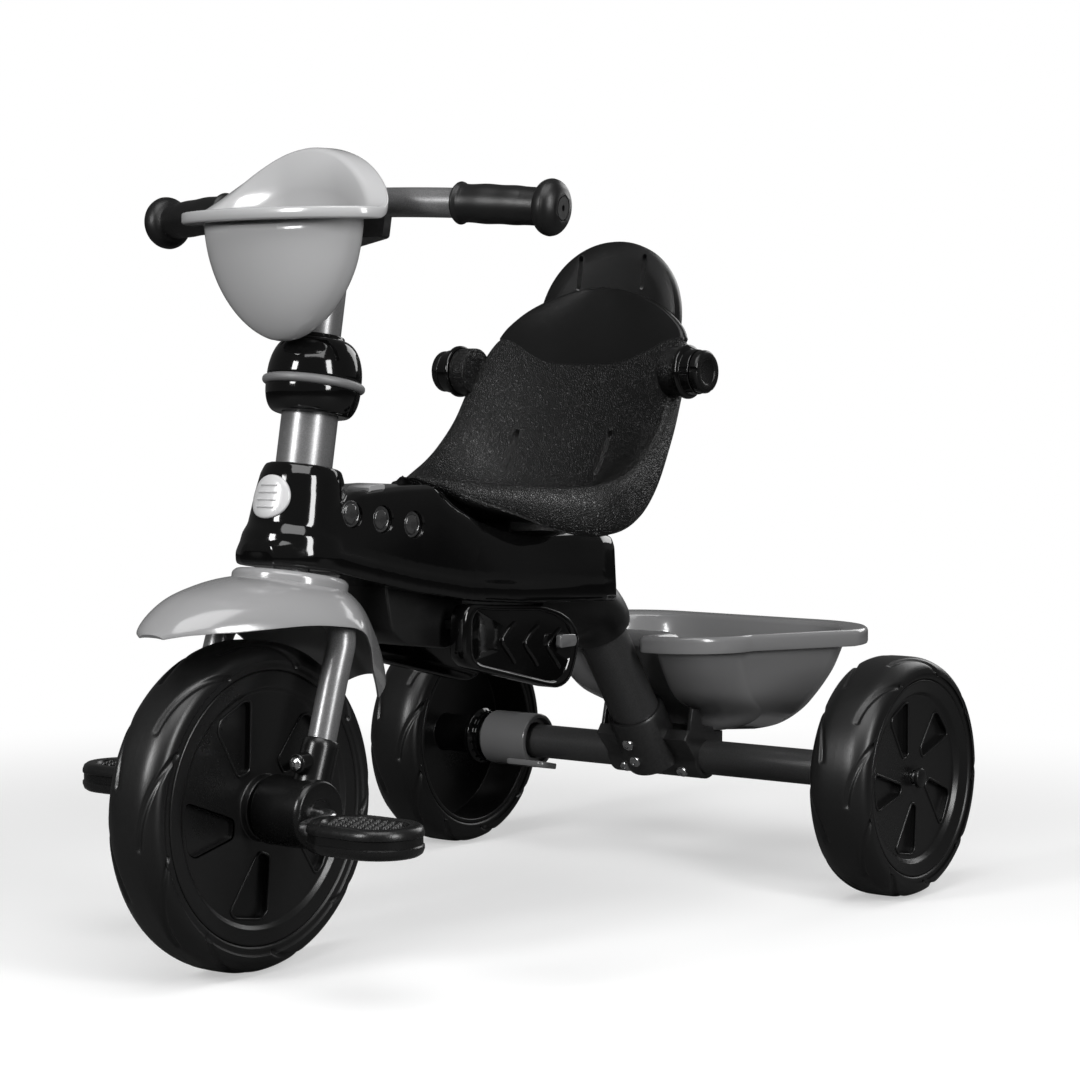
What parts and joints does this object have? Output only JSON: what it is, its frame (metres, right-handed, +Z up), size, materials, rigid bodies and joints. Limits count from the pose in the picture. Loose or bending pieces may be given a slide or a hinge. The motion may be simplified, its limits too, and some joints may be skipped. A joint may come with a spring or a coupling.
{
  "type": "children's pedal tricycle",
  "caption": "Child's pedal tricycle with a steered front wheel, moulded bucket seat, front basket, rear storage bucket, fold-out footrests and a rear axle brake.",
  "frame": {"origin": "on the ground under the middle of the trike's length, on its centre plane", "axes": "+Z up, -Y forward (the way the trike faces), +X to the rider's left"},
  "size_m": [0.5206, 0.8124, 0.6025],
  "materials": {
    "gloss_black": "gloss",
    "satin_black": "satin",
    "textured_black": "fine leather grain",
    "tyre_black": "satin, swept grooves",
    "light_grey": "gloss",
    "mid_grey": "gloss",
    "grey_paint": "fine metallic grey paint",
    "dark_paint": "fine metallic dark grey paint",
    "bright_steel": "bright zinc plate"
  },
  "bodies": {
    "frame": {"head_tube": "grey_paint", "head_bush_lower": "satin_black", "head_bush_upper": "satin_black", "main_tube": "dark_paint", "rear_axle_tube": "dark_paint", "rear_axle_rod": "bright_steel", "axle_bracket": "satin_black", "frame_bolt_upper": "bright_steel", "frame_bolt_lower": "bright_steel", "axle_bolt_left": "bright_steel", "axle_bolt_right": "bright_steel", "body_cover": "gloss_black", "lower_cover": "satin_black", "neck_badge": "light_grey", "lens_strip_left": "light_grey", "lens_strip_right": "light_grey", "seat_shell": "textured_black", "back_panel": "textured_black", "headrest": "textured_black", "socket_left": "gloss_black", "socket_right": "gloss_black", "footrest_bracket": "satin_black", "footrest_pin_left": "bright_steel", "footrest_pin_right": "bright_steel", "rear_bucket": "mid_grey", "ball_lower": "gloss_black", "ball_ring": "mid_grey"},
    "steering": {"steerer_tube": "bright_steel", "stem_tube": "grey_paint", "handlebar": "grey_paint", "grip_left": "satin_black", "grip_right": "satin_black", "basket": "light_grey", "basket_bracket": "satin_black", "ball_upper": "gloss_black", "front_fender": "mid_grey", "fork_tube": "grey_paint", "fork_end_left": "satin_black", "fork_end_right": "satin_black", "fork_end_bolt_left": "bright_steel", "fork_end_bolt_right": "bright_steel"},
    "front_wheel": {"front_tyre": "tyre_black", "front_rim_left": "satin_black", "front_rim_right": "satin_black", "crank_axle": "bright_steel"},
    "left_pedal": {"pedal_left": "satin_black"},
    "right_pedal": {"pedal_right": "satin_black"},
    "rear_wheel_left": {"rear_tyre_left": "tyre_black", "rear_rim_left": "satin_black", "axle_cap_left": "bright_steel"},
    "rear_wheel_right": {"rear_tyre_right": "tyre_black", "rear_rim_right": "satin_black", "axle_cap_right": "bright_steel", "brake_ring": "gloss_black"},
    "brake": {"brake_lever": "mid_grey"},
    "left_footrest": {"footrest_left": "gloss_black"},
    "right_footrest": {"footrest_right": "gloss_black"},
    "left_knob": {"knob_left": "gloss_black"},
    "right_knob": {"knob_right": "gloss_black"}
  },
  "joints": [
    {"name": "steer", "type": "hinge", "parent": "frame", "child": "steering", "pos_m": [0, -0.26355, 0.121], "axis": [0, 0.1857, 0.9826], "range_deg": [-40, 40]},
    {"name": "front_wheel_spin", "type": "hinge", "parent": "steering", "child": "front_wheel", "pos_m": [0, -0.28525, 0.121], "axis": [1, 0, 0], "continuous": true},
    {"name": "left_pedal_spin", "type": "hinge", "parent": "front_wheel", "child": "left_pedal", "pos_m": [0.1475, -0.32304, 0.11703], "axis": [1, 0, 0], "continuous": true},
    {"name": "right_pedal_spin", "type": "hinge", "parent": "front_wheel", "child": "right_pedal", "pos_m": [-0.1475, -0.24746, 0.12497], "axis": [1, 0, 0], "continuous": true},
    {"name": "rear_left_spin", "type": "hinge", "parent": "frame", "child": "rear_wheel_left", "pos_m": [0.2327, 0.25925, 0.1], "axis": [1, 0, 0], "continuous": true},
    {"name": "rear_right_spin", "type": "hinge", "parent": "frame", "child": "rear_wheel_right", "pos_m": [-0.2327, 0.25925, 0.1], "axis": [1, 0, 0], "continuous": true},
    {"name": "brake_turn", "type": "hinge", "parent": "frame", "child": "brake", "pos_m": [-0.16, 0.25925, 0.1], "axis": [1, 0, 0], "range_deg": [0, 25]},
    {"name": "left_footrest_fold", "type": "hinge", "parent": "frame", "child": "left_footrest", "pos_m": [0.046, -0.08275, 0.24], "axis": [0, -1, 0], "range_deg": [0, 90]},
    {"name": "right_footrest_fold", "type": "hinge", "parent": "frame", "child": "right_footrest", "pos_m": [-0.046, -0.08275, 0.24], "axis": [0, 1, 0], "range_deg": [0, 90]},
    {"name": "left_knob_lock", "type": "hinge", "parent": "frame", "child": "left_knob", "pos_m": [0.13, 0.12025, 0.436], "axis": [1, 0, 0], "range_deg": [0, 90]},
    {"name": "right_knob_lock", "type": "hinge", "parent": "frame", "child": "right_knob", "pos_m": [-0.13, 0.12025, 0.436], "axis": [1, 0, 0], "range_deg": [0, 90]}
  ]
}
